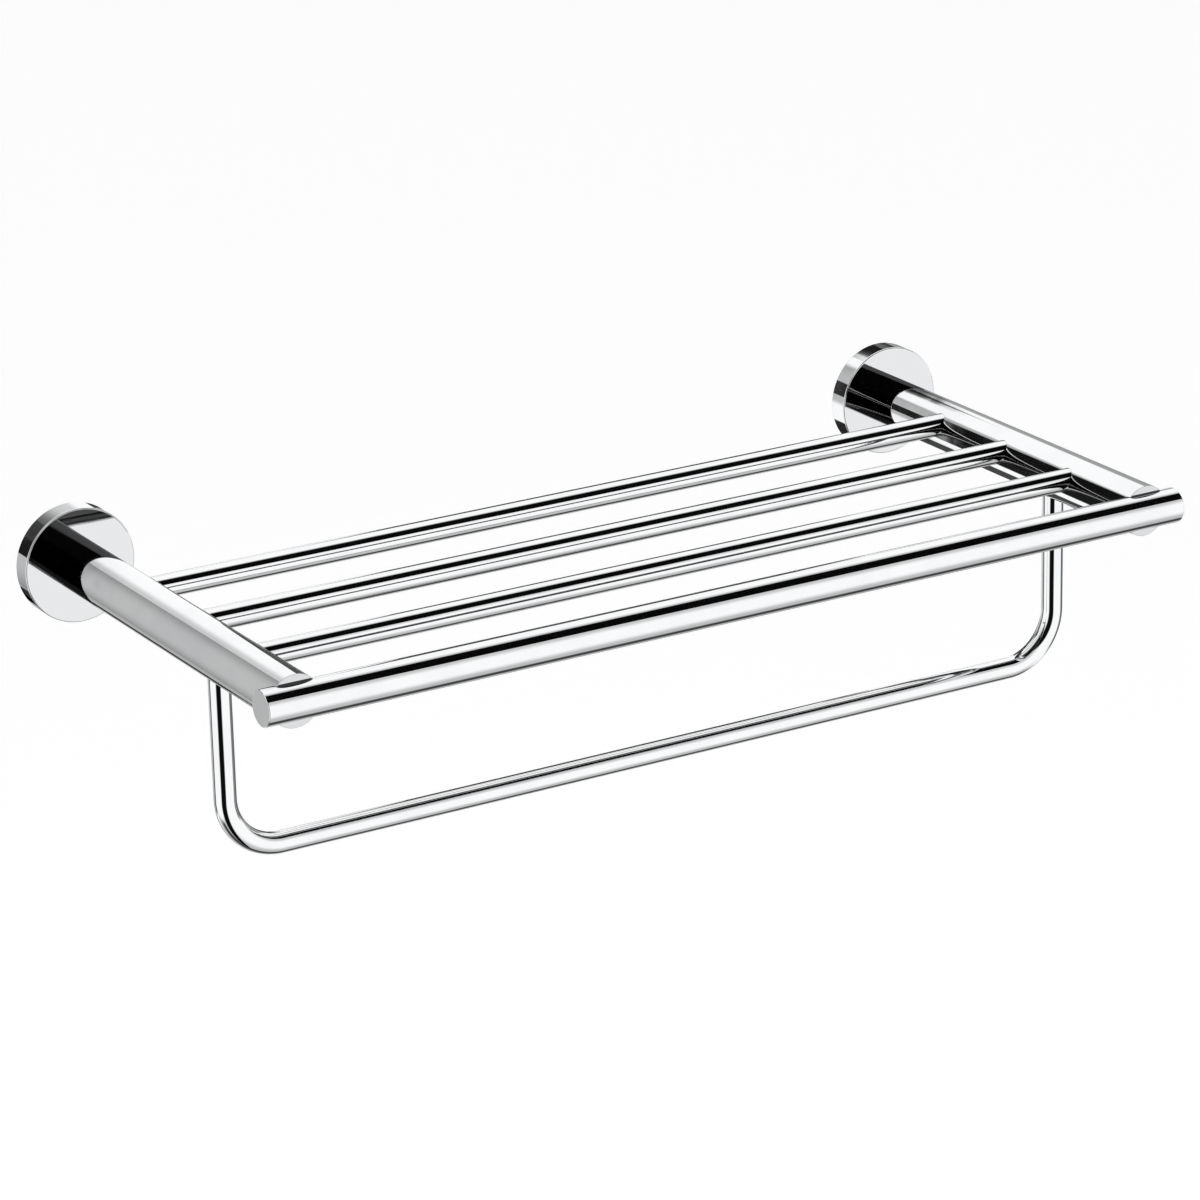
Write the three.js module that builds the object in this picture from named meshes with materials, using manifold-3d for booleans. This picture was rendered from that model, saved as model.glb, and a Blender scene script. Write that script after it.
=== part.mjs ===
// Wall-hung towel shelf in chromed brass. Two round arms stand out from wall rosettes and carry
// three thin shelf rails. A thicker front rail lies in half-round saddles cut in the arm ends, and
// a towel bar bent to a U hangs beneath. Each rosette is a cup over a wall plate that its set screw
// grips, and a bolt from inside the cup pulls the arm against it.
// Millimetres. X runs along the wall, +Y points into the wall and +Z is up. The origin is on the
// wall, midway between the rosettes, at the height of the arm axes.
import * as THREE from 'three';
import { mergeVertices } from 'three/addons/utils/BufferGeometryUtils.js';
import Module from 'manifold-3d';

const manifoldLibrary = await Module();
manifoldLibrary.setup();

// Layout: reaches are measured from the wall to an axis, and lastRailSpacing from the last shelf
// rail to the front rail
const armSpacing = 458;
const shelfDepth = 229;
const wallToRailSpacing = 70.5;
const lastRailSpacing = 50.5;
const railRise = 4;
const towelBarReach = 154;
const towelBarDrop = 97.5;
const frontRailOverhang = 17;
const shelfRailNames = ['shelf_rail_rear', 'shelf_rail_middle', 'shelf_rail_front'];

// Arms
const armDiameter = 25;
const armWall = 2.5;
const armEndWall = 8;
const armPlugLength = 20;

// Rails and towel bar
const shelfRailDiameter = 11;
const towelBarDiameter = 10.5;
const towelBarBendRadius = 20;
const legReachThroughWall = 1.5;
const railReachIntoArm = 8;

// Front rail, its caps and the threaded bushes inside it
const frontRailDiameter = 17;
const frontRailWall = 1.5;
const capFlange = 0.9;
const capBevel = 0.6;
const capSpigotLength = 5;
const bushLength = 10;
const bushThreadDepth = 9;

// Rosette cup
const rosetteDiameter = 56;
const rosetteDepth = 11;
const rosetteFace = 2.5;
const rosetteRim = 3;
const rosetteBevel = 0.6;

// Wall plate inside the cup
const plateThickness = 7;
const plateClearance = 0.7;
const plateHoleDiameter = 19;
const plateGrooveDepth = 2;
const plateGrooveFloor = 2;
const plateGrooveReach = 3.6;
const wallScrewSpacing = 31;
const wallScrewHoleDiameter = 5;
const wallScrewHeadDiameter = 9;
const wallScrewHeadDepth = 2;

// Set screw through the underside of the cup
const setScrewDiameter = 4;
const setScrewPointDiameter = 1.2;
const setScrewPointLength = 1.4;
const setScrewRecess = 0.5;
const setScrewSocketFlats = 2;
const setScrewSocketDepth = 2;

// Bolt and washer that hold the arm to the cup
const armBoltDiameter = 8;
const armBoltReachIntoPlug = 14;
const armBoltHeadDiameter = 13;
const armBoltHeadHeight = 4.5;
const armBoltSocketFlats = 5;
const armBoltSocketDepth = 2.5;
const washerDiameter = 16;
const washerThickness = 1.2;

// Screw from inside the arm that holds the front rail in its saddle
const railScrewDiameter = 5;
const railScrewReachIntoBush = 7;
const railScrewHeadDiameter = 8.5;
const railScrewHeadHeight = 5;
const railScrewSocketFlats = 4;
const railScrewSocketDepth = 2.5;

// Fits and finish shared by the pieces
const fitGap = 0.3;
const edgeBreak = 0.3;
const cutOverrun = 1;

// How finely round pieces are faceted
const rosetteFacets = 64;
const armFacets = 48;
const railFacets = 32;
const fastenerFacets = 24;
const bendSteps = 8;
const hexSides = 6;

// Radii and places that follow from the sizes above
const armRadius = armDiameter / 2;
const armBoreRadius = armRadius - armWall;
const frontRailRadius = frontRailDiameter / 2;
const frontRailBoreRadius = frontRailRadius - frontRailWall;
const saddleRadius = frontRailRadius + fitGap;
const armBoreEnd = -(shelfDepth - saddleRadius - armEndWall);
const rosetteRadius = rosetteDiameter / 2;
const cupFloor = -(rosetteDepth - rosetteFace);
const plateRadius = rosetteRadius - rosetteRim - plateClearance;
const frontRailHalfLength = armSpacing / 2 + frontRailOverhang;
const railPitch = (shelfDepth - wallToRailSpacing - lastRailSpacing) / (shelfRailNames.length - 1);

const chrome = { color: 0xdfe2e4, metalness: 1, roughness: 0.06 };
const zincPlatedSteel = { color: 0xb4b8bb, metalness: 1, roughness: 0.35 };
const bareBrass = { color: 0xb5975a, metalness: 1, roughness: 0.3 };

// A closed three.js geometry as a solid that can be cut
function solidOf(geometry) {
  geometry.deleteAttribute('normal');
  geometry.deleteAttribute('uv');
  const merged = mergeVertices(geometry);
  const corners = [];
  for (let i = 0; i < merged.index.count; i += 3) {
    const [a, b, c] = [0, 1, 2].map((corner) => merged.index.getX(i + corner));
    if (a !== b && b !== c && c !== a) corners.push(a, b, c);
  }
  return new manifoldLibrary.Manifold(new manifoldLibrary.Mesh({
    numProp: 3,
    vertProperties: new Float32Array(merged.attributes.position.array),
    triVerts: new Uint32Array(corners),
  }));
}

// A geometry less the geometries that cut it
function cut(geometry, ...cutters) {
  const solid = cutters.reduce((rest, cutter) => rest.subtract(solidOf(cutter)), solidOf(geometry));
  const mesh = solid.getMesh();
  const result = new THREE.BufferGeometry();
  result.setAttribute('position', new THREE.BufferAttribute(mesh.vertProperties, mesh.numProp));
  result.setIndex(new THREE.BufferAttribute(mesh.triVerts, 1));
  result.computeVertexNormals();
  return result;
}

// A piece turned about the Y axis from [radius, y] corners; a ring's outline is closed here
function turned(corners, facets) {
  const startsOnAxis = corners[0][0] === 0;
  const outline = startsOnAxis ? corners : [...corners, corners[0]];
  return new THREE.LatheGeometry(outline.map(([radius, y]) => new THREE.Vector2(radius, y)), facets);
}

// A round bar between two places along one axis
function bar(axis, diameter, from, to, facets) {
  const radius = diameter / 2;
  const geometry = new THREE.CylinderGeometry(radius, radius, Math.abs(to - from), facets);
  geometry.translate(0, (from + to) / 2, 0);
  if (axis === 'x') geometry.rotateZ(-Math.PI / 2);
  if (axis === 'z') geometry.rotateX(Math.PI / 2);
  return geometry;
}

// A hexagon bar along Y, given across its flats
function hexBar(flats, from, to) {
  return bar('y', flats / Math.cos(Math.PI / hexSides), from, to, hexSides);
}

function named(name, geometry, finish) {
  const mesh = new THREE.Mesh(geometry, new THREE.MeshStandardMaterial(finish));
  mesh.name = name;
  return mesh;
}

// Rosette: a deep-drawn cup, open to the wall, with a bolt hole in its face and a tapped hole for
// the set screw in the underside of its rim
function rosette() {
  const boltHoleRadius = armBoltDiameter / 2 + fitGap;
  const cup = turned([
    [boltHoleRadius, cupFloor],
    [boltHoleRadius, -rosetteDepth],
    [rosetteRadius - rosetteBevel, -rosetteDepth],
    [rosetteRadius, -rosetteDepth + rosetteBevel],
    [rosetteRadius, 0],
    [rosetteRadius - rosetteRim, 0],
    [rosetteRadius - rosetteRim, cupFloor],
  ], rosetteFacets);
  const setScrewHole = bar('z', setScrewDiameter + 2 * fitGap, -rosetteRadius - cutOverrun, -plateRadius,
    fastenerFacets);
  setScrewHole.translate(0, -plateGrooveReach, 0);
  return cut(cup, setScrewHole);
}

// Wall plate: a turned disc with a V groove round its edge for the set screw's point, a hole that
// clears the arm bolt's head, and two countersunk holes for the wall screws
function wallPlate() {
  const grooveSide = plateGrooveFloor / 2 + plateGrooveDepth;
  const disc = turned([
    [plateHoleDiameter / 2, 0],
    [plateHoleDiameter / 2, -plateThickness],
    [plateRadius, -plateThickness],
    [plateRadius, -plateGrooveReach - grooveSide],
    [plateRadius - plateGrooveDepth, -plateGrooveReach - plateGrooveFloor / 2],
    [plateRadius - plateGrooveDepth, -plateGrooveReach + plateGrooveFloor / 2],
    [plateRadius, -plateGrooveReach + grooveSide],
    [plateRadius, 0],
  ], rosetteFacets);
  const screwHoles = [-1, 1].map((side) => {
    const hole = turned([
      [0, -plateThickness - cutOverrun],
      [wallScrewHeadDiameter / 2, -plateThickness - cutOverrun],
      [wallScrewHeadDiameter / 2, -plateThickness],
      [wallScrewHoleDiameter / 2, -plateThickness + wallScrewHeadDepth],
      [wallScrewHoleDiameter / 2, cutOverrun],
      [0, cutOverrun],
    ], fastenerFacets);
    hole.translate(side * wallScrewSpacing / 2, 0, 0);
    return hole;
  });
  return cut(disc, ...screwHoles);
}

// Set screw: a cup-headed grub with a hexagon socket, its blunt point in the plate's groove
function setScrew() {
  const outerEnd = rosetteRadius - setScrewRecess;
  const pointEnd = plateRadius - plateGrooveDepth + fitGap;
  const screwRadius = setScrewDiameter / 2;
  const grub = turned([
    [0, pointEnd],
    [setScrewPointDiameter / 2, pointEnd],
    [screwRadius, pointEnd + setScrewPointLength],
    [screwRadius, outerEnd - edgeBreak],
    [screwRadius - edgeBreak, outerEnd],
    [0, outerEnd],
  ], fastenerFacets);
  return cut(grub, hexBar(setScrewSocketFlats, outerEnd - setScrewSocketDepth, outerEnd + cutOverrun));
}

// Socket-head screw with its seat at y = 0, its head towards the wall and its shank away from it
function capScrew(diameter, length, headDiameter, headHeight, socketFlats, socketDepth) {
  const screw = turned([
    [0, -length],
    [diameter / 2 - edgeBreak, -length],
    [diameter / 2, -length + edgeBreak],
    [diameter / 2, 0],
    [headDiameter / 2, 0],
    [headDiameter / 2, headHeight - edgeBreak],
    [headDiameter / 2 - edgeBreak, headHeight],
    [0, headHeight],
  ], fastenerFacets);
  return cut(screw, hexBar(socketFlats, headHeight - socketDepth, headHeight + cutOverrun));
}

function armBolt() {
  const length = rosetteFace + washerThickness + armBoltReachIntoPlug;
  return capScrew(armBoltDiameter, length, armBoltHeadDiameter, armBoltHeadHeight, armBoltSocketFlats,
    armBoltSocketDepth);
}

function armBoltWasher() {
  const holeRadius = armBoltDiameter / 2 + fitGap;
  return turned([
    [holeRadius, washerThickness],
    [holeRadius, 0],
    [washerDiameter / 2, 0],
    [washerDiameter / 2, washerThickness],
  ], railFacets);
}

// Arm: a tube closed at its front end, where a half-round saddle takes the rear half of the front
// rail. Its inner side is bored above the middle for the shelf rails, and its underside for the
// towel bar's leg.
function arm(inward) {
  const rear = -rosetteDepth;
  const tube = turned([
    [0, -shelfDepth],
    [armRadius - edgeBreak, -shelfDepth],
    [armRadius, -shelfDepth + edgeBreak],
    [armRadius, rear - edgeBreak],
    [armRadius - edgeBreak, rear],
    [armBoreRadius, rear],
    [armBoreRadius, armBoreEnd],
    [0, armBoreEnd],
  ], armFacets);

  const saddleEnd = armRadius + cutOverrun;
  const saddle = bar('x', 2 * saddleRadius, -saddleEnd, saddleEnd, armFacets);
  saddle.translate(0, -shelfDepth, 0);

  const screwHole = bar('y', railScrewDiameter + 2 * fitGap, -shelfDepth, armBoreEnd + cutOverrun,
    fastenerFacets);

  const railHoles = shelfRailNames.map((name, index) => {
    const hole = bar('x', shelfRailDiameter + 2 * fitGap, 0, inward * saddleEnd, railFacets);
    hole.translate(0, -shelfRailReach(index), railRise);
    return hole;
  });

  const legHole = bar('z', towelBarDiameter + 2 * fitGap, -saddleEnd, 0, railFacets);
  legHole.translate(0, -towelBarReach, 0);

  return cut(tube, saddle, screwHole, legHole, ...railHoles);
}

// Plug pressed into the arm's rear end, tapped for the arm bolt
function armPlug() {
  const rear = -rosetteDepth;
  const threadRadius = armBoltDiameter / 2 + fitGap;
  const plugRadius = armBoreRadius - fitGap;
  return turned([
    [threadRadius, rear],
    [threadRadius, rear - armPlugLength],
    [plugRadius - edgeBreak, rear - armPlugLength],
    [plugRadius, rear - armPlugLength + edgeBreak],
    [plugRadius, rear],
  ], fastenerFacets);
}

function shelfRailReach(index) {
  return wallToRailSpacing + index * railPitch;
}

// Shelf rail: a straight bar whose ends stand inside the arms
function shelfRail() {
  const end = armSpacing / 2 - armRadius + railReachIntoArm;
  const radius = shelfRailDiameter / 2;
  const rail = turned([
    [0, -end],
    [radius - edgeBreak, -end],
    [radius, -end + edgeBreak],
    [radius, end - edgeBreak],
    [radius - edgeBreak, end],
    [0, end],
  ], railFacets);
  rail.rotateZ(-Math.PI / 2);
  return rail;
}

// Front rail: a tube with a hole in its rear wall at each arm for the saddle screw
function frontRail() {
  const end = frontRailHalfLength - capFlange;
  const tube = turned([
    [frontRailBoreRadius, end],
    [frontRailBoreRadius, -end],
    [frontRailRadius, -end],
    [frontRailRadius, end],
  ], armFacets);
  tube.rotateZ(-Math.PI / 2);
  const screwHoles = [-1, 1].map((side) => {
    const hole = bar('y', railScrewDiameter + 2 * fitGap, 0, frontRailRadius + cutOverrun, fastenerFacets);
    hole.translate(side * armSpacing / 2, 0, 0);
    return hole;
  });
  return cut(tube, ...screwHoles);
}

// Front rail cap, drawn with its outer face at y = 0 and its spigot towards -Y
function frontRailCap() {
  const spigotRadius = frontRailBoreRadius - fitGap;
  const spigotEnd = -capFlange - capSpigotLength;
  return turned([
    [0, spigotEnd],
    [spigotRadius - edgeBreak, spigotEnd],
    [spigotRadius, spigotEnd + edgeBreak],
    [spigotRadius, -capFlange],
    [frontRailRadius, -capFlange],
    [frontRailRadius, -capBevel],
    [frontRailRadius - capBevel, 0],
    [0, 0],
  ], armFacets);
}

// Bush inside the front rail, cross-drilled and tapped for the saddle screw
function frontRailBush() {
  const bushDiameter = 2 * (frontRailBoreRadius - fitGap);
  const thread = bar('y', railScrewDiameter + 2 * fitGap, bushDiameter / 2 - bushThreadDepth,
    bushDiameter / 2 + cutOverrun, fastenerFacets);
  return cut(bar('x', bushDiameter, -bushLength / 2, bushLength / 2, railFacets), thread);
}

function frontRailScrew() {
  const throughSaddle = armEndWall + fitGap + frontRailWall + fitGap;
  return capScrew(railScrewDiameter, throughSaddle + railScrewReachIntoBush, railScrewHeadDiameter,
    railScrewHeadHeight, railScrewSocketFlats, railScrewSocketDepth);
}

// The towel bar's centre line: down one leg, round a bend, along, and up the other leg. A section
// stands at each end of the straights and at every step of the bends.
class TowelBarPath extends THREE.Curve {
  constructor(halfWidth, top, drop, bendRadius) {
    super();
    this.stations = [];
    const addStation = (x, z, directionX, directionZ) => this.stations.push({
      point: new THREE.Vector3(x, 0, z),
      tangent: new THREE.Vector3(directionX, 0, directionZ),
    });
    addStation(-halfWidth, top, 0, -1);
    for (const side of [-1, 1]) {
      for (let step = 0; step <= bendSteps; step += 1) {
        const turn = (Math.PI / 2) * (side < 0 ? step : bendSteps - step) / bendSteps;
        const x = side * (halfWidth - bendRadius + bendRadius * Math.cos(turn));
        const z = -drop + bendRadius - bendRadius * Math.sin(turn);
        addStation(x, z, Math.sin(turn), side * Math.cos(turn));
      }
    }
    addStation(halfWidth, top, 0, 1);
  }

  station(share) {
    return this.stations[Math.round(share * (this.stations.length - 1))];
  }

  getPointAt(share) {
    return this.station(share).point.clone();
  }

  getTangentAt(share) {
    return this.station(share).tangent.clone();
  }
}

// Towel bar: one bar bent to a U, its legs reaching through the underside of the arms
function towelBar() {
  const top = -armBoreRadius + legReachThroughWall;
  const path = new TowelBarPath(armSpacing / 2, top, towelBarDrop, towelBarBendRadius);
  const section = new THREE.Shape().absarc(0, 0, towelBarDiameter / 2, 0, 2 * Math.PI);
  return new THREE.ExtrudeGeometry(section, {
    steps: path.stations.length - 1,
    curveSegments: railFacets / 2,
    bevelEnabled: false,
    extrudePath: path,
  });
}

// One end of the shelf, about the arm's axis; inward is the way to the other arm along X
function shelfEnd(sideName, inward) {
  const end = new THREE.Group();
  end.position.x = -inward * armSpacing / 2;

  const screw = named(`set_screw_${sideName}`, setScrew(), zincPlatedSteel);
  screw.rotation.x = -Math.PI / 2;
  screw.position.y = -plateGrooveReach;

  const washer = named(`arm_bolt_washer_${sideName}`, armBoltWasher(), zincPlatedSteel);
  washer.position.y = cupFloor;

  const bolt = named(`arm_bolt_${sideName}`, armBolt(), zincPlatedSteel);
  bolt.position.y = cupFloor + washerThickness;

  const saddleScrew = named(`front_rail_screw_${sideName}`, frontRailScrew(), zincPlatedSteel);
  saddleScrew.position.y = armBoreEnd;

  const bush = named(`front_rail_bush_${sideName}`, frontRailBush(), bareBrass);
  bush.position.y = -shelfDepth;

  const cap = named(`front_rail_cap_${sideName}`, frontRailCap(), chrome);
  cap.rotation.z = inward * Math.PI / 2;
  cap.position.set(-inward * frontRailOverhang, -shelfDepth, 0);

  end.add(
    named(`wall_plate_${sideName}`, wallPlate(), zincPlatedSteel),
    named(`rosette_${sideName}`, rosette(), chrome),
    screw,
    washer,
    bolt,
    named(`arm_${sideName}`, arm(inward), chrome),
    named(`arm_plug_${sideName}`, armPlug(), bareBrass),
    saddleScrew,
    bush,
    cap,
  );
  return end;
}

const towelShelf = new THREE.Group();
towelShelf.add(shelfEnd('left', 1), shelfEnd('right', -1));

shelfRailNames.forEach((name, index) => {
  const rail = named(name, shelfRail(), chrome);
  rail.position.set(0, -shelfRailReach(index), railRise);
  towelShelf.add(rail);
});

const frontRailMesh = named('front_rail', frontRail(), chrome);
frontRailMesh.position.y = -shelfDepth;

const towelBarMesh = named('towel_bar', towelBar(), chrome);
towelBarMesh.position.y = -towelBarReach;

towelShelf.add(frontRailMesh, towelBarMesh);

export default towelShelf;
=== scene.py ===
from math import atan2, cos, pi, radians, sin, tan

import bpy
from mathutils import Matrix, Vector


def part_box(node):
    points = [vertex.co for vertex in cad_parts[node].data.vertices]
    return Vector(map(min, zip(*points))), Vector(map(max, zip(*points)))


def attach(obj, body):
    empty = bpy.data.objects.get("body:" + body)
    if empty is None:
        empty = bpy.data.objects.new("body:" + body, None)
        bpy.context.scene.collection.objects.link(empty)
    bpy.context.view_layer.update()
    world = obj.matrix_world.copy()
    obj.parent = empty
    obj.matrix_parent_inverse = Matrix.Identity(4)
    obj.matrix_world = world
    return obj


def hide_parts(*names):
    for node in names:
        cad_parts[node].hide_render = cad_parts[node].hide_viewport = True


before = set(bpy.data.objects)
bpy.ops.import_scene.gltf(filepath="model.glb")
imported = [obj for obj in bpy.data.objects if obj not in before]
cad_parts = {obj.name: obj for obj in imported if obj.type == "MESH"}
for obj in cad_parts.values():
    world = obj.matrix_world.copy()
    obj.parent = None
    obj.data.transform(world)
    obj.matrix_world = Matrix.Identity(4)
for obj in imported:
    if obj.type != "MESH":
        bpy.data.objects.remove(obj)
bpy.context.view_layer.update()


# ---- ROSETTES ----
# Each rosette is a deep-drawn brass cup, 56 mm across, polished and plated with bright chrome. Its
# rim ends on the wall, its face carries the arm, and a set screw under the rim holds it in place.
rosette_face = 0.0025
rosette_rim = 0.003
rosette_edge_rounding = 0.0007
rosette_rear_rounding = 0.0003
rosette_bolt_hole_radius = 0.0043
set_screw_hole_radius = 0.0022
rosette_facets = 256
rounding_steps = 6
drill_facets = 96
cutter_overrun = 1.2          # how far a cutter runs past the surface, as a share of its radius
set_screw_hole_depth = 0.7    # where that hole ends inside the rim, as a share of the radius
on_axis = 1e-9
chrome_tone = (0.90, 0.905, 0.912, 1)
chrome_clouded_tone = (0.865, 0.873, 0.885, 1)
chrome_worn_tone = (0.93, 0.925, 0.915, 1)
# Painted shade: a darker chrome for the rosette's flat face towards the room, dimming what it
# mirrors.
rosette_face_painted_shade = (0.76, 0.765, 0.775, 1)
chrome_cloud_scale = 42.0
chrome_ripple_scale = 60.0
chrome_ripple_depth = 0.00002
chrome_worn_edge = 0.0003
chrome_roughness = (0.022, 0.045)
hairline_roughness = 0.02
hairline_depth_share = 0.004
worn_edge_roughness = 0.03


def fit(tree, kind, sockets=None, **settings):
    """Adds a node. Each named socket takes a plain value, or a link from another node's output."""
    node = tree.nodes.new(kind)
    for key, value in settings.items():
        setattr(node, key, value)
    for key, value in (sockets or {}).items():
        if isinstance(value, bpy.types.NodeSocket):
            tree.links.new(value, node.inputs[key])
        else:
            node.inputs[key].default_value = value
    return node


def eased(tree, value, low, high, to_low=0.0, to_high=1.0):
    """A soft step: to_low where the value is under low, to_high where it is over high."""
    step = fit(tree, "ShaderNodeMapRange", {"Value": value, "From Min": low, "From Max": high,
                                            "To Min": to_low, "To Max": to_high},
               interpolation_type="SMOOTHSTEP")
    return step.outputs["Result"]


def sum_of(tree, first, second, operation="ADD"):
    node = fit(tree, "ShaderNodeMath", {0: first, 1: second}, operation=operation)
    return node.outputs[0]


def mixed(tree, factor, first, second):
    node = fit(tree, "ShaderNodeMix", {0: factor, 6: first, 7: second}, data_type="RGBA")
    return node.outputs[2]


def make_plating_marks():
    """What polishing, wiping and use leave on bright plating, as masks over the surface."""
    group = bpy.data.node_groups.new("plating_marks", "ShaderNodeTree")
    group.interface.new_socket("Lay", in_out="INPUT", socket_type="NodeSocketVector")
    for name in ("Cloud", "Hairlines", "Ripple", "Edge"):
        group.interface.new_socket(name, in_out="OUTPUT", socket_type="NodeSocketFloat")
    given = fit(group, "NodeGroupInput")
    place = fit(group, "ShaderNodeTexCoord").outputs["Object"]
    cloud = fit(group, "ShaderNodeTexNoise", {"Vector": place, "Scale": chrome_cloud_scale,
                                              "Detail": 3.0, "Roughness": 0.55})
    along_lay = fit(group, "ShaderNodeVectorMath", {0: place, 1: given.outputs["Lay"]},
                    operation="MULTIPLY")
    hairs = fit(group, "ShaderNodeTexNoise", {"Vector": along_lay.outputs[0], "Scale": 1.0,
                                              "Detail": 2.0, "Roughness": 0.6})
    ripple = fit(group, "ShaderNodeTexNoise", {"Vector": place, "Scale": chrome_ripple_scale,
                                               "Detail": 1.0})
    bent = fit(group, "ShaderNodeBevel", {"Radius": chrome_worn_edge}, samples=6)
    flat = fit(group, "ShaderNodeNewGeometry")
    agreement = fit(group, "ShaderNodeVectorMath",
                    {0: bent.outputs["Normal"], 1: flat.outputs["Normal"]}, operation="DOT_PRODUCT")
    fit(group, "NodeGroupOutput", {
        "Cloud": eased(group, cloud.outputs["Fac"], 0.35, 0.68),
        "Hairlines": eased(group, hairs.outputs["Fac"], 0.60, 0.74),
        "Ripple": ripple.outputs["Fac"],
        "Edge": eased(group, agreement.outputs["Value"], 0.985, 0.90),
    })
    return group


plating_marks = make_plating_marks()


def bright_chrome(name, lay, face_painted_shade=None):
    """Mirror-bright nickel and chrome plate; lay is how fast its hairlines change along X, Y and Z.
    A face shade paints the flat faces towards the room darker: painted shade on what they mirror."""
    material = bpy.data.materials.new(name)
    material.use_nodes = True
    tree = material.node_tree
    shader = tree.nodes["Principled BSDF"]
    shader.inputs["Metallic"].default_value = 1.0
    marks = fit(tree, "ShaderNodeGroup", node_tree=plating_marks)
    marks.inputs["Lay"].default_value = lay
    cloud, hairlines, ripple, edge = (marks.outputs[mark]
                                      for mark in ("Cloud", "Hairlines", "Ripple", "Edge"))
    clouded = mixed(tree, cloud, chrome_tone, chrome_clouded_tone)
    # Painted shade: flat faces turned towards the room get a darker base colour.
    if face_painted_shade:
        facing = fit(tree, "ShaderNodeSeparateXYZ",
                     {0: fit(tree, "ShaderNodeNewGeometry").outputs["Normal"]}).outputs["Y"]
        clouded = mixed(tree, eased(tree, facing, -0.999, -0.97, 1.0, 0.0), clouded, face_painted_shade)
    tree.links.new(mixed(tree, edge, clouded, chrome_worn_tone), shader.inputs["Base Color"])
    polish = sum_of(tree, eased(tree, cloud, 0.0, 1.0, *chrome_roughness),
                    sum_of(tree, hairlines, hairline_roughness, "MULTIPLY"))
    tree.links.new(sum_of(tree, polish, sum_of(tree, edge, worn_edge_roughness, "MULTIPLY")),
                   shader.inputs["Roughness"])
    height = sum_of(tree, ripple, sum_of(tree, hairlines, hairline_depth_share, "MULTIPLY"))
    bump = fit(tree, "ShaderNodeBump", {"Height": height, "Strength": 1.0,
                                        "Distance": chrome_ripple_depth})
    tree.links.new(bump.outputs["Normal"], shader.inputs["Normal"])
    return material


def outline_stretches(corners):
    """Straight and rounded stretches of a turned piece's outline, as (start, its normal, end, its
    normal). A corner is (radius, place along the axis, rounding). The metal lies to the left."""
    points = [Vector(corner[:2]) for corner in corners]
    is_ring = corners[0][0] > on_axis
    sides = len(points) if is_ring else len(points) - 1
    ways = [(points[(i + 1) % len(points)] - points[i]).normalized() for i in range(sides)]

    def turn_at(corner):
        before, after = ways[corner - 1], ways[corner % sides]
        return atan2(before.x * after.y - before.y * after.x, before.dot(after))

    def rounding_at(corner):
        at_end = not is_ring and corner in (0, sides)
        return 0 if at_end else corners[corner % len(corners)][2]

    def cut_back(corner):
        return rounding_at(corner) * tan(abs(turn_at(corner)) / 2) if rounding_at(corner) else 0

    stretches = []
    for side, way in enumerate(ways):
        outward = Vector((way.y, -way.x))
        start = points[side] + way * cut_back(side)
        end = points[(side + 1) % len(points)] - way * cut_back(side + 1)
        stretches.append((start, outward, end, outward))
        rounding = rounding_at(side + 1)
        if rounding:
            turn = turn_at(side + 1)
            reach = rounding if turn > 0 else -rounding
            centre = end - outward * reach
            normals = []
            for step in range(rounding_steps + 1):
                angle = atan2(outward.y, outward.x) + turn * step / rounding_steps
                normals.append(Vector((cos(angle), sin(angle))))
            for first, second in zip(normals, normals[1:]):
                stretches.append((centre + first * reach, first, centre + second * reach, second))
    return stretches


def show_true_normals(mesh, to_place, stretches):
    """Gives each face the normals of the turned surface it lies on, so that mirrors run true."""
    near = 0.00003
    same_way = 0.98
    crease = radians(30)
    back = to_place.inverted()
    mesh.shade_smooth()
    mesh.set_sharp_from_angle(angle=crease)
    normals = []
    for face in mesh.polygons:
        centre = back @ face.center
        facing = back.to_3x3() @ face.normal
        across = Vector((centre.x, centre.y))
        spot = Vector((across.length, centre.z))
        towards = across.normalized() if across.length > on_axis else Vector((1, 0))
        leaning = Vector((facing.x * towards.x + facing.y * towards.y, facing.z))
        found = None
        for start, start_normal, end, end_normal in stretches:
            way = end - start
            if way.length < on_axis:
                continue
            share = min(max((spot - start).dot(way) / way.length_squared, 0), 1)
            if ((start + way * share) - spot).length < near and \
                    leaning.dot((start_normal + end_normal).normalized()) > same_way:
                found = (start, start_normal, way, end_normal)
                break
        for corner in face.vertices:
            if found is None:
                normals.append((0, 0, 0))
                continue
            start, start_normal, way, end_normal = found
            point = back @ mesh.vertices[corner].co
            reach = Vector((point.x, point.y))
            share = (Vector((reach.length, point.z)) - start).dot(way) / way.length_squared
            lean = start_normal.lerp(end_normal, min(max(share, 0), 1)).normalized()
            way_out = reach.normalized() if reach.length > on_axis else Vector((0, 0))
            normal = Vector((way_out.x * lean.x, way_out.y * lean.x, lean.y))
            normals.append(tuple((to_place.to_3x3() @ normal).normalized()))
    mesh.normals_split_custom_set(normals)


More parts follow.
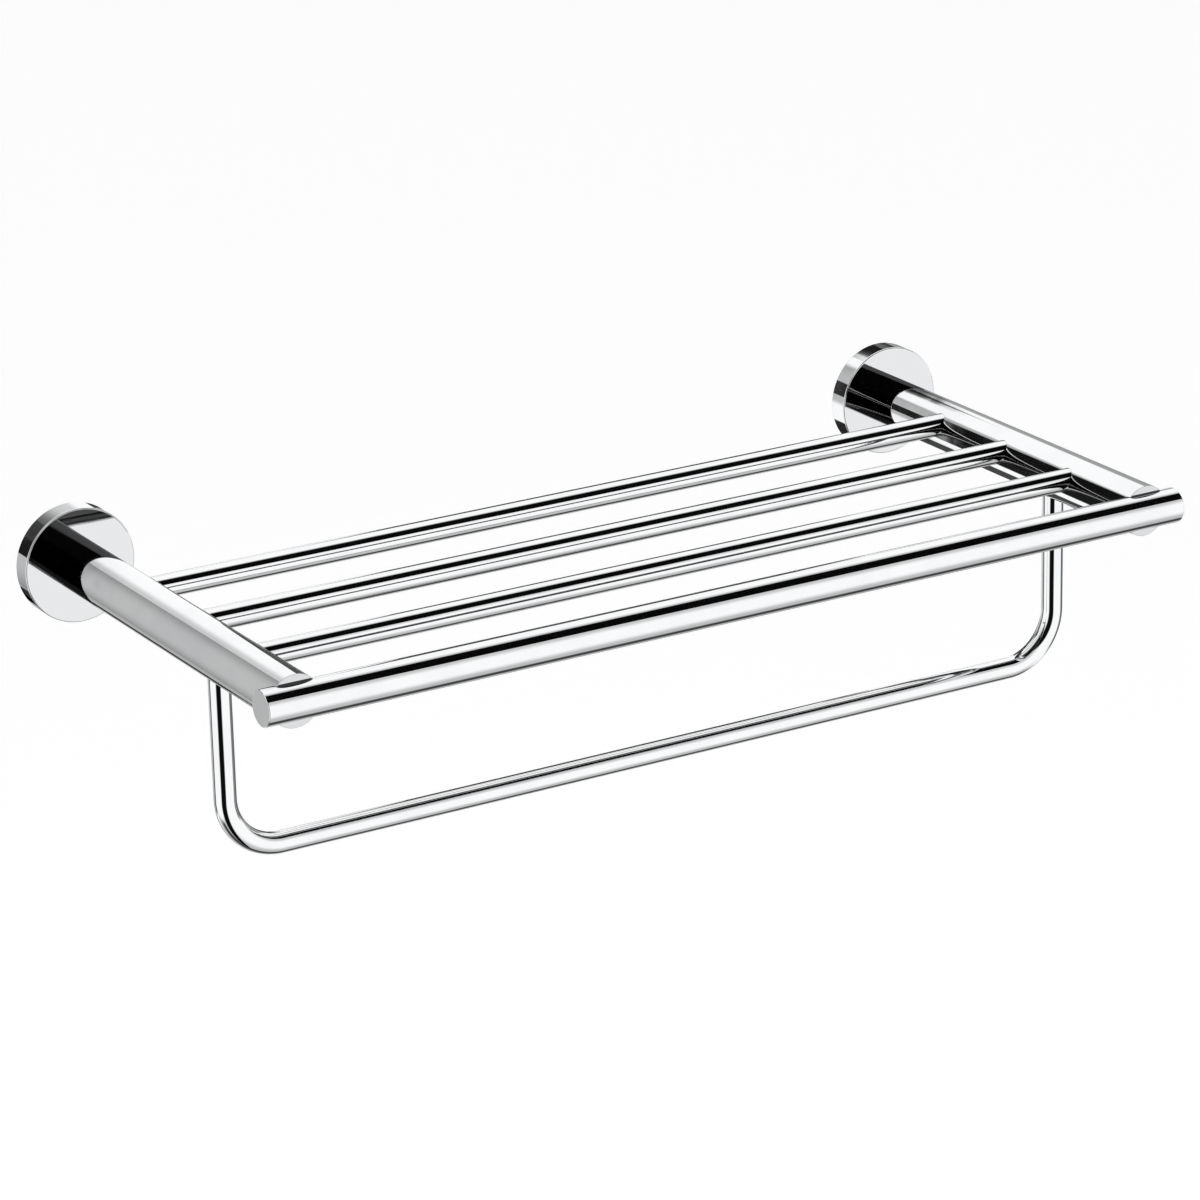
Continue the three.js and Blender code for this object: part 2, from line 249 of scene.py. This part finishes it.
def turned(name, to_place, corners, facets, cutters=()):
    """A piece turned about its own Z axis, moved to its place, and bored by the cutters."""
    stretches = outline_stretches(corners)
    is_ring = corners[0][0] > on_axis
    stations = [stretch[0] for stretch in stretches] + ([] if is_ring else [stretches[-1][2]])
    points, rings, faces = [], [], []
    for radius, along in stations:
        if radius < on_axis:
            rings.append([len(points)] * facets)
            points.append((0, 0, along))
        else:
            rings.append(list(range(len(points), len(points) + facets)))
            points += [(radius * cos(2 * pi * i / facets), radius * sin(2 * pi * i / facets), along)
                       for i in range(facets)]
    for lower, upper in zip(rings, rings[1:] + ([rings[0]] if is_ring else [])):
        for i in range(facets):
            j = (i + 1) % facets
            faces.append(list(dict.fromkeys((lower[i], lower[j], upper[j], upper[i]))))
    mesh = bpy.data.meshes.new(name)
    mesh.from_pydata(points, [], faces)
    mesh.transform(to_place)
    piece = bpy.data.objects.new(name, mesh)
    bpy.context.scene.collection.objects.link(piece)
    if cutters:
        # All cutters cut at once: cut one after the other, they leave stray faces in the hollow.
        drills = bpy.data.collections.new("drills")
        for cutter in cutters:
            drills.objects.link(cutter)
        bore = piece.modifiers.new("bore", "BOOLEAN")
        bore.operation = "DIFFERENCE"
        bore.solver = "EXACT"
        bore.operand_type = "COLLECTION"
        bore.collection = drills
        bored = piece.evaluated_get(bpy.context.evaluated_depsgraph_get())
        piece.data = bpy.data.meshes.new_from_object(bored)
        piece.modifiers.clear()
        for cutter in cutters:
            bpy.data.objects.remove(cutter)
        bpy.data.collections.remove(drills)
    show_true_normals(piece.data, to_place, stretches)
    return piece


along_y = Matrix.Rotation(-pi / 2, 4, "X")
along_x = Matrix.Rotation(pi / 2, 4, "Y")
upright = Matrix.Identity(4)


def drill(direction, centre, radius, start, end):
    """A round cutter along X, Y or Z through the centre, from start to end along that axis."""
    corners = [(0, start, 0), (radius, start, 0), (radius, end, 0), (0, end, 0)]
    return turned("drill", Matrix.Translation(centre) @ direction, corners, drill_facets)


def dress(piece, material, node):
    """Finishes a chromed piece that stands for one CAD node."""
    piece.data.materials.clear()
    piece.data.materials.append(material)
    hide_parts(node)
    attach(piece, "root")


rosette_chrome = bright_chrome("rosette_chrome", lay=(900, 120, 900), face_painted_shade=rosette_face_painted_shade)
for side in ("left", "right"):
    lowest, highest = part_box(f"rosette_{side}")
    centre = Vector(((lowest.x + highest.x) / 2, 0, (lowest.z + highest.z) / 2))
    radius = (highest.x - lowest.x) / 2
    front, back = lowest.y, highest.y
    screw_low, screw_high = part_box(f"set_screw_{side}")
    screw_place = Vector((centre.x, (screw_low.y + screw_high.y) / 2, 0))
    screw_hole = drill(upright, screw_place, set_screw_hole_radius, -radius * cutter_overrun,
                       -radius * set_screw_hole_depth)
    rosette = turned(f"polished_rosette_{side}", Matrix.Translation(centre) @ along_y, [
        (rosette_bolt_hole_radius, front, 0),
        (radius, front, rosette_edge_rounding),
        (radius, back, rosette_rear_rounding),
        (radius - rosette_rim, back, 0),
        (radius - rosette_rim, front + rosette_face, 0),
        (rosette_bolt_hole_radius, front + rosette_face, 0),
    ], rosette_facets, [screw_hole])
    dress(rosette, rosette_chrome, f"rosette_{side}")


# ---- WALL PLATES AND THEIR SCREWS ----
# A turned steel plate is screwed to the wall inside each rosette, and a steel set screw grips the
# groove round it. Both are zinc plated, and the turning tool's fine rings show through the zinc.
zinc_tone = (0.56, 0.58, 0.60, 1)
zinc_passivated_tone = (0.59, 0.59, 0.56, 1)
zinc_dull_tone = (0.48, 0.50, 0.525, 1)
tool_cloud_scale = 130.0
tool_spot_scale = 900.0
ring_roughness = 0.08
ring_strength = 0.6
arm_axis_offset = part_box("arm_right")[0].lerp(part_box("arm_right")[1], 0.5).x


def make_turning_marks():
    """Tool rings about the nearer arm's axis, and the clouding that plating or air leaves."""
    group = bpy.data.node_groups.new("turning_marks", "ShaderNodeTree")
    group.interface.new_socket("Pitch", in_out="INPUT", socket_type="NodeSocketFloat")
    for name in ("Rings", "Cloud", "Spots"):
        group.interface.new_socket(name, in_out="OUTPUT", socket_type="NodeSocketFloat")
    given = fit(group, "NodeGroupInput")
    place = fit(group, "ShaderNodeTexCoord").outputs["Object"]
    parts = fit(group, "ShaderNodeSeparateXYZ", {0: place})
    side_x = fit(group, "ShaderNodeMath", {0: parts.outputs["X"]}, operation="ABSOLUTE")
    across = sum_of(group, side_x.outputs[0], arm_axis_offset, "SUBTRACT")
    squares = sum_of(group, sum_of(group, across, across, "MULTIPLY"),
                     sum_of(group, parts.outputs["Z"], parts.outputs["Z"], "MULTIPLY"))
    radius = fit(group, "ShaderNodeMath", {0: squares}, operation="SQRT").outputs[0]
    tool_place = fit(group, "ShaderNodeCombineXYZ", {
        "X": sum_of(group, radius, given.outputs["Pitch"], "MULTIPLY"),
        "Y": sum_of(group, parts.outputs["Y"], given.outputs["Pitch"], "MULTIPLY"),
    })
    rings = fit(group, "ShaderNodeTexNoise", {"Vector": tool_place.outputs[0], "Scale": 1.0,
                                              "Detail": 2.0})
    cloud = fit(group, "ShaderNodeTexNoise", {"Vector": place, "Scale": tool_cloud_scale,
                                              "Detail": 4.0})
    spots = fit(group, "ShaderNodeTexNoise", {"Vector": place, "Scale": tool_spot_scale,
                                              "Detail": 2.0})
    fit(group, "NodeGroupOutput", {
        "Rings": eased(group, rings.outputs["Fac"], 0.3, 0.7),
        "Cloud": eased(group, cloud.outputs["Fac"], 0.4, 0.65),
        "Spots": eased(group, spots.outputs["Fac"], 0.62, 0.72),
    })
    return group


turning_marks = make_turning_marks()


def turned_metal(name, pitch, tones, polish, ring_depth):
    """Turned metal in three tones: its own, clouded and spotted. Pitch is how many tool rings go
    to a metre, polish the range of its roughness."""
    material = bpy.data.materials.new(name)
    material.use_nodes = True
    tree = material.node_tree
    shader = tree.nodes["Principled BSDF"]
    shader.inputs["Metallic"].default_value = 1.0
    marks = fit(tree, "ShaderNodeGroup", node_tree=turning_marks)
    marks.inputs["Pitch"].default_value = pitch
    rings, cloud, spots = (marks.outputs[mark] for mark in ("Rings", "Cloud", "Spots"))
    own, clouded, spotted = tones
    tree.links.new(mixed(tree, spots, mixed(tree, cloud, own, clouded), spotted),
                   shader.inputs["Base Color"])
    smooth = sum_of(tree, eased(tree, cloud, 0.0, 1.0, *polish),
                    sum_of(tree, rings, ring_roughness, "MULTIPLY"))
    tree.links.new(smooth, shader.inputs["Roughness"])
    bump = fit(tree, "ShaderNodeBump", {"Height": rings, "Strength": ring_strength,
                                        "Distance": ring_depth})
    tree.links.new(bump.outputs["Normal"], shader.inputs["Normal"])
    return material


def finish_nodes(material, *names):
    """Gives carried-over CAD nodes their finish on both sides of the shelf."""
    for name in names:
        for side in ("left", "right"):
            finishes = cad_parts[f"{name}_{side}"].data.materials
            finishes.clear()
            finishes.append(material)


zinc_plate = turned_metal("zinc_plate", pitch=5200.0, polish=(0.30, 0.38), ring_depth=0.00002,
                          tones=(zinc_tone, zinc_passivated_tone, zinc_dull_tone))
finish_nodes(zinc_plate, "wall_plate", "set_screw")


# ---- ARMS ----
# Each arm is a 25 mm brass tube with a closed front end, polished and chrome plated. It is bored
# inside for the shelf rails, below for the towel bar, and its end is cut to a saddle for the rail.
arm_wall = 0.0025
arm_end_wall = 0.008
arm_front_rounding = 0.0003
arm_facets = 192
hair_gap = 0.00006            # between a bore or saddle and the piece that it holds
rail_screw_hole_radius = 0.0028
rail_screw_hole_overrun = 0.001
# Painted shade: a darker chrome for the arm's flat front end towards the room, dimming what it
# mirrors.
arm_face_painted_shade = (0.68, 0.685, 0.695, 1)
shelf_rail_names = ("shelf_rail_rear", "shelf_rail_middle", "shelf_rail_front")

rail_low, rail_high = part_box("front_rail")
front_rail_axis = (rail_low + rail_high) / 2
front_rail_radius = (rail_high.z - rail_low.z) / 2
bar_low, bar_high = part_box("towel_bar")
towel_bar_radius = (bar_high.y - bar_low.y) / 2
towel_bar_reach = (bar_low.y + bar_high.y) / 2

arm_chrome = bright_chrome("arm_chrome", lay=(1100, 60, 1100), face_painted_shade=arm_face_painted_shade)
for side, inward in (("left", 1), ("right", -1)):
    lowest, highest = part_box(f"arm_{side}")
    centre = Vector(((lowest.x + highest.x) / 2, 0, (lowest.z + highest.z) / 2))
    radius = (highest.x - lowest.x) / 2
    rear = highest.y
    beyond = radius * cutter_overrun
    saddle_radius = front_rail_radius + hair_gap
    bore_end = front_rail_axis.y + saddle_radius + arm_end_wall
    saddle = drill(along_x, Vector((centre.x, front_rail_axis.y, front_rail_axis.z)), saddle_radius,
                   -beyond, beyond)
    screw_hole = drill(along_y, centre, rail_screw_hole_radius, front_rail_axis.y,
                       bore_end + rail_screw_hole_overrun)
    bores = []
    for rail_name in shelf_rail_names:
        low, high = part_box(rail_name)
        bores.append(drill(along_x, Vector((centre.x, (low.y + high.y) / 2, (low.z + high.z) / 2)),
                           (high.z - low.z) / 2 + hair_gap, *sorted((0, inward * beyond))))
    leg_bore = drill(upright, Vector((centre.x, towel_bar_reach, 0)), towel_bar_radius + hair_gap,
                     -beyond, 0)
    arm = turned(f"polished_arm_{side}", Matrix.Translation(centre) @ along_y, [
        (0, front_rail_axis.y, 0),
        (radius, front_rail_axis.y, arm_front_rounding),
        (radius, rear, 0),
        (radius - arm_wall, rear, 0),
        (radius - arm_wall, bore_end, 0),
        (0, bore_end, 0),
    ], arm_facets, [saddle, screw_hole, leg_bore, *bores])
    dress(arm, arm_chrome, f"arm_{side}")


# ---- ARM BOLTS, WASHERS AND PLUGS ----
# A socket-head steel bolt and washer inside each rosette pull the arm against it. The bolt turns
# into a brass plug pressed in the arm's rear end, which is left bare as it came off the lathe.
brass_tone = (0.62, 0.42, 0.16, 1)
brass_tarnished_tone = (0.45, 0.29, 0.11, 1)
brass_spotted_tone = (0.28, 0.18, 0.08, 1)

zinc_bolt = turned_metal("zinc_bolt", pitch=7800.0, polish=(0.28, 0.46), ring_depth=0.000012,
                         tones=(zinc_tone, zinc_dull_tone, zinc_passivated_tone))
bare_brass = turned_metal("bare_brass", pitch=4300.0, polish=(0.20, 0.40), ring_depth=0.00002,
                          tones=(brass_tone, brass_tarnished_tone, brass_spotted_tone))
finish_nodes(zinc_bolt, "arm_bolt", "arm_bolt_washer")
finish_nodes(bare_brass, "arm_plug")


# ---- SHELF RAILS ----
# Three straight 11 mm bars of drawn brass stand in the arms' bores and are brazed there. They are
# polished along their length and plated with the arms, so each joint shows only as a fine line.
rail_end_rounding = 0.0003
shelf_rail_facets = 128

shelf_rail_chrome = bright_chrome("shelf_rail_chrome", lay=(45, 1300, 1300))
for rail_name in shelf_rail_names:
    lowest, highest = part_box(rail_name)
    centre = (lowest + highest) / 2
    radius = (highest.z - lowest.z) / 2
    half = (highest.x - lowest.x) / 2
    rail = turned(f"polished_{rail_name}", Matrix.Translation(centre) @ along_x, [
        (0, -half, 0), (radius, -half, rail_end_rounding), (radius, half, rail_end_rounding),
        (0, half, 0)], shelf_rail_facets)
    dress(rail, shelf_rail_chrome, rail_name)


# ---- FRONT RAIL AND ITS CAPS ----
# The front rail is a 17 mm brass tube that lies in the arms' saddles and runs on past them. A flat
# turned cap with a softly rounded edge closes each end. Tube and caps are polished and plated.
front_rail_wall = 0.0015
cap_edge_rounding = 0.0005
cap_spigot_length = 0.005
cap_spigot_rounding = 0.0003
cap_spigot_gap = 0.0001
front_rail_facets = 192

front_rail_chrome = bright_chrome("front_rail_chrome", lay=(40, 1200, 1200))
half = (rail_high.x - rail_low.x) / 2
bore_radius = front_rail_radius - front_rail_wall
screw_holes = [drill(along_y, Vector((x, 0, front_rail_axis.z)), rail_screw_hole_radius,
                     front_rail_axis.y, front_rail_axis.y + front_rail_radius * cutter_overrun)
               for x in (-arm_axis_offset, arm_axis_offset)]
front_rail = turned("polished_front_rail", Matrix.Translation(front_rail_axis) @ along_x, [
    (front_rail_radius, -half, 0), (front_rail_radius, half, 0),
    (bore_radius, half, 0), (bore_radius, -half, 0)], front_rail_facets, screw_holes)
dress(front_rail, front_rail_chrome, "front_rail")

cap_chrome = bright_chrome("cap_chrome", lay=(60, 1000, 1000))
for side, outward in (("left", -1), ("right", 1)):
    lowest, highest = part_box(f"front_rail_cap_{side}")
    outer_face = highest.x if outward > 0 else lowest.x
    seat = outward * half
    facing_out = Matrix.Translation((outer_face, front_rail_axis.y, front_rail_axis.z)) \
        @ Matrix.Rotation(outward * pi / 2, 4, "Y")
    flange = abs(outer_face - seat)
    spigot_radius = bore_radius - cap_spigot_gap
    cap = turned(f"polished_cap_{side}", facing_out, [
        (0, -flange - cap_spigot_length, 0),
        (spigot_radius, -flange - cap_spigot_length, cap_spigot_rounding),
        (spigot_radius, -flange, 0),
        (front_rail_radius, -flange, 0),
        (front_rail_radius, 0, cap_edge_rounding),
        (0, 0, 0),
    ], front_rail_facets)
    dress(cap, cap_chrome, f"front_rail_cap_{side}")


# ---- FRONT RAIL SCREWS AND BUSHES ----
# Inside each arm a steel screw passes through the saddle into a brass bush in the front rail, and
# draws the rail into its saddle. Neither shows once the rosette is on.
finish_nodes(zinc_bolt, "front_rail_screw")
finish_nodes(bare_brass, "front_rail_bush")


# ---- TOWEL BAR ----
# One 10.5 mm bar of drawn brass, bent cold to a U and brazed into the undersides of the arms. It is
# polished along its length after bending, and chrome plated.
bend_radius = 0.027
bend_steps = 56
towel_bar_facets = 128

towel_bar_chrome = bright_chrome("towel_bar_chrome", lay=(300, 1300, 300))
leg_x = bar_high.x - towel_bar_radius
leg_top = bar_high.z
run_z = bar_low.z + towel_bar_radius
stations = [(-leg_x, leg_top, 0)]
for side in (-1, 1):
    for step in range(bend_steps + 1):
        share = step / bend_steps if side < 0 else 1 - step / bend_steps
        angle = share * pi / 2
        heading = angle if side < 0 else pi - angle
        stations.append((side * (leg_x - bend_radius + bend_radius * cos(angle)),
                         run_z + bend_radius - bend_radius * sin(angle), heading))
stations.append((leg_x, leg_top, pi))

points, normals_at, faces, corner_normals = [], [], [], []
for x, z, heading in stations:
    outward_in_plane = Vector((-cos(heading), 0, -sin(heading)))
    for i in range(towel_bar_facets):
        turn = 2 * pi * i / towel_bar_facets
        normal = Vector((0, cos(turn), 0)) + outward_in_plane * sin(turn)
        normals_at.append(normal)
        points.append(Vector((x, towel_bar_reach, z)) + normal * towel_bar_radius)
for ring in range(len(stations) - 1):
    for i in range(towel_bar_facets):
        j = (i + 1) % towel_bar_facets
        here, there = ring * towel_bar_facets, (ring + 1) * towel_bar_facets
        face = (here + i, there + i, there + j, here + j)
        faces.append(face)
        corner_normals += [tuple(normals_at[corner]) for corner in face]
for ring, order in ((0, 1), (len(stations) - 1, -1)):
    start = ring * towel_bar_facets
    faces.append(list(range(start, start + towel_bar_facets))[::order])
    corner_normals += [(0, 0, 1)] * towel_bar_facets
mesh = bpy.data.meshes.new("polished_towel_bar")
mesh.from_pydata(points, [], faces)
mesh.shade_smooth()
mesh.normals_split_custom_set(corner_normals)
towel_bar = bpy.data.objects.new("polished_towel_bar", mesh)
bpy.context.scene.collection.objects.link(towel_bar)
dress(towel_bar, towel_bar_chrome, "towel_bar")


# ---- STUDIO ----
# A white room with a pale floor and one soft lamp. Bright metal shows its surroundings, so the room
# has grey and black walls and a dim floor, and black felt near the shelf that only metal mirrors.
white_level = 1.06


def make_room():
    """A white room whose darker patches each cover some ray directions, by x, y and z or by angle.
    Each arm and rim mirrors its own narrow range of y, which keeps its patches to itself."""
    world = bpy.data.worlds.new("studio_room")
    world.use_nodes = True
    bpy.context.scene.world = world
    tree = world.node_tree
    tree.nodes.clear()
    way = fit(tree, "ShaderNodeSeparateXYZ",
              {0: fit(tree, "ShaderNodeTexCoord").outputs["Generated"]})
    x, y, z = (way.outputs[name] for name in "XYZ")

    def angle_of(rise, run):
        return sum_of(tree, rise, run, "ARCTAN2")

    def between(value, low, low_soft, high, high_soft):
        """1 from low to high, fading to 0 over the soft widths outside them."""
        return sum_of(tree, eased(tree, value, low - low_soft, low),
                      eased(tree, value, high, high + high_soft, 1.0, 0.0), "MULTIPLY")

    def degrees_between(angle, *bounds):
        return between(angle, *(radians(bound) for bound in bounds))

    def all_of(*masks):
        whole = masks[0]
        for mask in masks[1:]:
            whole = sum_of(tree, whole, mask, "MULTIPLY")
        return whole

    def either(first, second):
        return sum_of(tree, first, second, "MAXIMUM")

    backward = sum_of(tree, y, -1.0, "MULTIPLY")
    leftward = sum_of(tree, x, -1.0, "MULTIPLY")
    aside = fit(tree, "ShaderNodeMath", {0: x}, operation="ABSOLUTE").outputs[0]
    room_angle = angle_of(z, backward)            # from level in the room, up being positive
    left_of_room = angle_of(leftward, backward)
    left_of_wall = angle_of(leftward, y)
    right_of_wall = sum_of(tree, left_of_wall, -1.0, "MULTIPLY")

    not_aside = eased(tree, aside, 0.60, 0.78, 1.0, 0.0)
    beside_left_arm = eased(tree, y, 0.80, 0.828)
    beside_right_arm = eased(tree, y, 0.80, 0.828, 1.0, 0.0)
    beside_left_rim = eased(tree, y, 0.8645, 0.866)
    beside_right_rim = between(y, 0.787, 0.004, 0.80, 0.005)
    beside_rims = either(beside_right_rim, beside_left_rim)

    upper_shade = degrees_between(room_angle, 48, 38, 80, 12)
    lower_shade = all_of(degrees_between(room_angle, -126, 16, -76, 52), not_aside)
    dim_floor = all_of(degrees_between(room_angle, -98, 32, -89, 12), not_aside)
    dark_gap = degrees_between(left_of_room, 21, 12, 56, 14)
    grey_wall = all_of(degrees_between(left_of_wall, 12.6, 0.8, 38, 1.5),
                       between(z, -0.52, 0.06, 0.50, 0.08),
                       either(beside_left_arm, eased(tree, z, -0.30, -0.12)))
    grey_wall_tone = eased(tree, x, -0.18, -0.52, 0.32, 0.51)
    wall_fall_off = all_of(degrees_between(left_of_wall, 12, 28, 12.6, 0.8),
                           between(z, 0.20, 0.20, 0.80, 0.05), beside_left_arm)
    black_panel = all_of(degrees_between(left_of_wall, 29.5, 3, 46, 8),
                         between(z, -0.50, 0.08, 0.50, 0.08),
                         eased(tree, y, 0.782, 0.788, 1.0, 0.0))
    panel_edge = all_of(degrees_between(left_of_wall, 27, 2, 60, 4),
                        between(z, -0.03, 0.02, 0.24, 0.03), beside_rims)
    low_patch = all_of(degrees_between(left_of_wall, -8, 2, 18, 3),
                       eased(tree, z, -0.49, -0.46, 1.0, 0.0), beside_rims)
    dark_corner = all_of(degrees_between(right_of_wall, 31, 5, 100, 12),
                         between(z, -0.52, 0.12, -0.20, 0.14))
    grey_side = all_of(degrees_between(right_of_wall, 38, 6, 80, 10),
                       between(z, -0.10, 0.10, 0.30, 0.16), beside_right_arm)
    grey_skirting = all_of(degrees_between(left_of_wall, -27, 3, 12.6, 0.8),
                           eased(tree, z, -0.42, -0.26, 1.0, 0.0), beside_left_arm)
    dark_joint = all_of(degrees_between(left_of_wall, -10.5, 1.5, -2, 1.5),
                        eased(tree, z, -0.47, -0.41, 1.0, 0.0), beside_left_arm)
    rim_top = all_of(degrees_between(left_of_wall, -20, 8, 27, 3),
                     between(z, 0.26, 0.06, 0.60, 0.05), beside_left_rim)
    rim_top_tone = eased(tree, left_of_wall, radians(-20), radians(24), 0.64, 0.08)
    left_rim_end = all_of(degrees_between(right_of_wall, 20, 3, 60, 5),
                          between(z, -0.33, 0.02, -0.01, 0.04), beside_left_rim)
    right_rim_end = all_of(degrees_between(right_of_wall, 6, 3, 60, 5),
                           between(z, 0.12, 0.04, 0.58, 0.04), beside_right_rim)
    dark_foot = all_of(between(y, 0.755, 0.01, 0.787, 0.004),
                       between(z, -0.66, 0.02, -0.45, 0.05),
                       eased(tree, x, -0.20, -0.12))

    # Where a ray has been mirrored twice the room is painted darker: painted shade standing for the
    # shelf's own inner sides, which are darker than the room.
    light_path = fit(tree, "ShaderNodeLightPath").outputs
    second_mirror = eased(tree, light_path["Glossy Depth"], 1.2, 1.8)
    dark_room = all_of(second_mirror, eased(tree, y, -0.70, -0.55, 1.0, 0.0),
                       either(eased(tree, x, 0.12, 0.46, 1.0, 0.0), eased(tree, z, -0.30, -0.12)))
    dark_room_tone = eased(tree, x, 0.12, 0.40, 0.01, 0.07)
    dark_wall = all_of(second_mirror, eased(tree, y, 0.0, 0.35))

    light = white_level
    for mask, kept in ((upper_shade, 0.60), (lower_shade, 0.52), (dim_floor, 0.10),
                       (dark_gap, 0.004), (grey_wall, grey_wall_tone), (wall_fall_off, 0.60),
                       (black_panel, 0.012), (panel_edge, 0.02), (low_patch, 0.02),
                       (dark_corner, 0.14), (grey_side, 0.34), (grey_skirting, 0.42),
                       (dark_joint, 0.04), (rim_top, rim_top_tone), (left_rim_end, 0.03),
                       (right_rim_end, 0.13), (dark_foot, 0.06), (dark_room, dark_room_tone),
                       (dark_wall, 0.10)):
        light = sum_of(tree, light, eased(tree, mask, 0.0, 1.0, 1.0, kept), "MULTIPLY")
    tone = fit(tree, "ShaderNodeCombineColor", {"Red": light, "Green": light, "Blue": light})
    room = fit(tree, "ShaderNodeBackground", {"Color": tone.outputs[0], "Strength": 1.0})
    plain = fit(tree, "ShaderNodeBackground", {"Color": (1, 1, 1, 1), "Strength": 1.0})
    seen = fit(tree, "ShaderNodeMixShader", {
        0: light_path["Is Camera Ray"], 1: room.outputs[0], 2: plain.outputs[0]})
    fit(tree, "ShaderNodeOutputWorld", {"Surface": seen.outputs[0]})


make_room()


def make_sheet(name, corners, material):
    mesh = bpy.data.meshes.new(name)
    mesh.from_pydata(corners, [], [list(range(len(corners)))])
    mesh.materials.append(material)
    sheet = bpy.data.objects.new(name, mesh)
    bpy.context.scene.collection.objects.link(sheet)
    return sheet


felt_black = (0.004, 0.004, 0.004, 1)


def felt(name, fade=None, darkest=1.0):
    """Black cloth. A fade is the axis along which it thins out, its bare end and its full end."""
    material = bpy.data.materials.new(name)
    material.use_nodes = True
    tree = material.node_tree
    surface = fit(tree, "ShaderNodeBsdfDiffuse", {"Color": felt_black}).outputs[0]
    if fade:
        axis, bare_end, full_end = fade
        place = fit(tree, "ShaderNodeSeparateXYZ",
                    {0: fit(tree, "ShaderNodeTexCoord").outputs["Object"]}).outputs[axis]
        clear = fit(tree, "ShaderNodeBsdfTransparent")
        surface = fit(tree, "ShaderNodeMixShader", {
            0: eased(tree, place, bare_end, full_end, 0.0, darkest), 1: clear.outputs[0],
            2: surface}).outputs[0]
    tree.links.new(surface, tree.nodes["Material Output"].inputs["Surface"])
    return material


def hide_but_in_mirrors(sheet):
    sheet.visible_camera = False
    sheet.visible_diffuse = False
    sheet.visible_shadow = False


# The strip overhead runs along X; its foot, top and fringe are places in Y and Z.
strip_half_length = 1.6
strip_foot = (-0.422, 0.207)
strip_top = (-0.2122, 0.6435)
strip_fringe = (-0.0563, 0.4073)
strip_fringe_darkness = 0.58
strip_felt = felt("whole_felt")
fringe_felt = felt("fringed_felt", ("Y", strip_fringe[0], strip_top[0]), strip_fringe_darkness)
for name, first, second, cloth in (("dark_strip", strip_foot, strip_top, strip_felt),
                                   ("strip_fringe", strip_top, strip_fringe, fringe_felt)):
    hide_but_in_mirrors(make_sheet(name, [
        (-strip_half_length, *first), (strip_half_length, *first),
        (strip_half_length, *second), (-strip_half_length, *second)], cloth))

stand_place = 0.5
stand_left, stand_right = 0.18, 0.52
stand_foot, stand_top = -0.22, 0.43
stand_fade = 0.06
stand_darkness = 0.92
stand_felt = felt("stand_felt", ("Z", stand_top, stand_top - stand_fade), stand_darkness)
hide_but_in_mirrors(make_sheet("dark_stand", [
    (stand_left, stand_place, stand_foot), (stand_right, stand_place, stand_foot),
    (stand_right, stand_place, stand_top), (stand_left, stand_place, stand_top)], stand_felt))

floor_height = -1.6
floor_half = 14.0
floor_tone = (0.90, 0.90, 0.90, 1)
floor_lift = 0.30
floor_material = bpy.data.materials.new("pale_floor")
floor_material.use_nodes = True
floor_tree = floor_material.node_tree
floor_shader = floor_tree.nodes["Principled BSDF"]
floor_shader.inputs["Base Color"].default_value = floor_tone
floor_shader.inputs["Roughness"].default_value = 1.0
floor_shader.inputs["Specular IOR Level"].default_value = 0.0
floor_shader.inputs["Emission Color"].default_value = (1, 1, 1, 1)
floor_seen = fit(floor_tree, "ShaderNodeLightPath").outputs["Is Camera Ray"]
floor_tree.links.new(sum_of(floor_tree, floor_seen, floor_lift, "MULTIPLY"),
                     floor_shader.inputs["Emission Strength"])
floor = make_sheet("floor", [(-floor_half, -floor_half, floor_height),
                             (floor_half, -floor_half, floor_height),
                             (floor_half, floor_half, floor_height),
                             (-floor_half, floor_half, floor_height)], floor_material)
floor.visible_glossy = False

lamp_place = Vector((0.5, -1.0, 2.2))
lamp_aim = Vector((0, -0.1, 0))
lamp = bpy.data.lights.new("soft_lamp", "AREA")
lamp.shape = "SQUARE"
lamp.size = 1.6
lamp.energy = 22.0
lamp_object = bpy.data.objects.new("soft_lamp", lamp)
lamp_object.location = lamp_place
lamp_object.rotation_euler = (lamp_aim - lamp_place).to_track_quat("-Z", "Y").to_euler()
lamp_object.visible_glossy = False
bpy.context.scene.collection.objects.link(lamp_object)


# ---- CAMERA ----
# The camera stands in front of the shelf, to its left and above it. Its place, aim and lens were
# fitted to the object's edges in the photograph.
camera_place = (-1.11973, -2.00311, 0.74400)
camera_turn = radians(30.498)
camera_dip = radians(19.481)
camera_roll = radians(-1.297)
camera_lens = 146.423
camera_film = 36.0

camera = bpy.data.cameras.new("camera")
camera.sensor_width = camera_film
camera.lens = camera_lens
camera_object = bpy.data.objects.new("camera", camera)
camera_object.matrix_world = Matrix.Translation(camera_place) \
    @ Matrix.Rotation(-camera_turn, 4, "Z") \
    @ Matrix.Rotation(pi / 2 - camera_dip, 4, "X") \
    @ Matrix.Rotation(camera_roll, 4, "Z")
bpy.context.scene.collection.objects.link(camera_object)
bpy.context.scene.camera = camera_object
bpy.context.scene.view_settings.view_transform = "Standard"
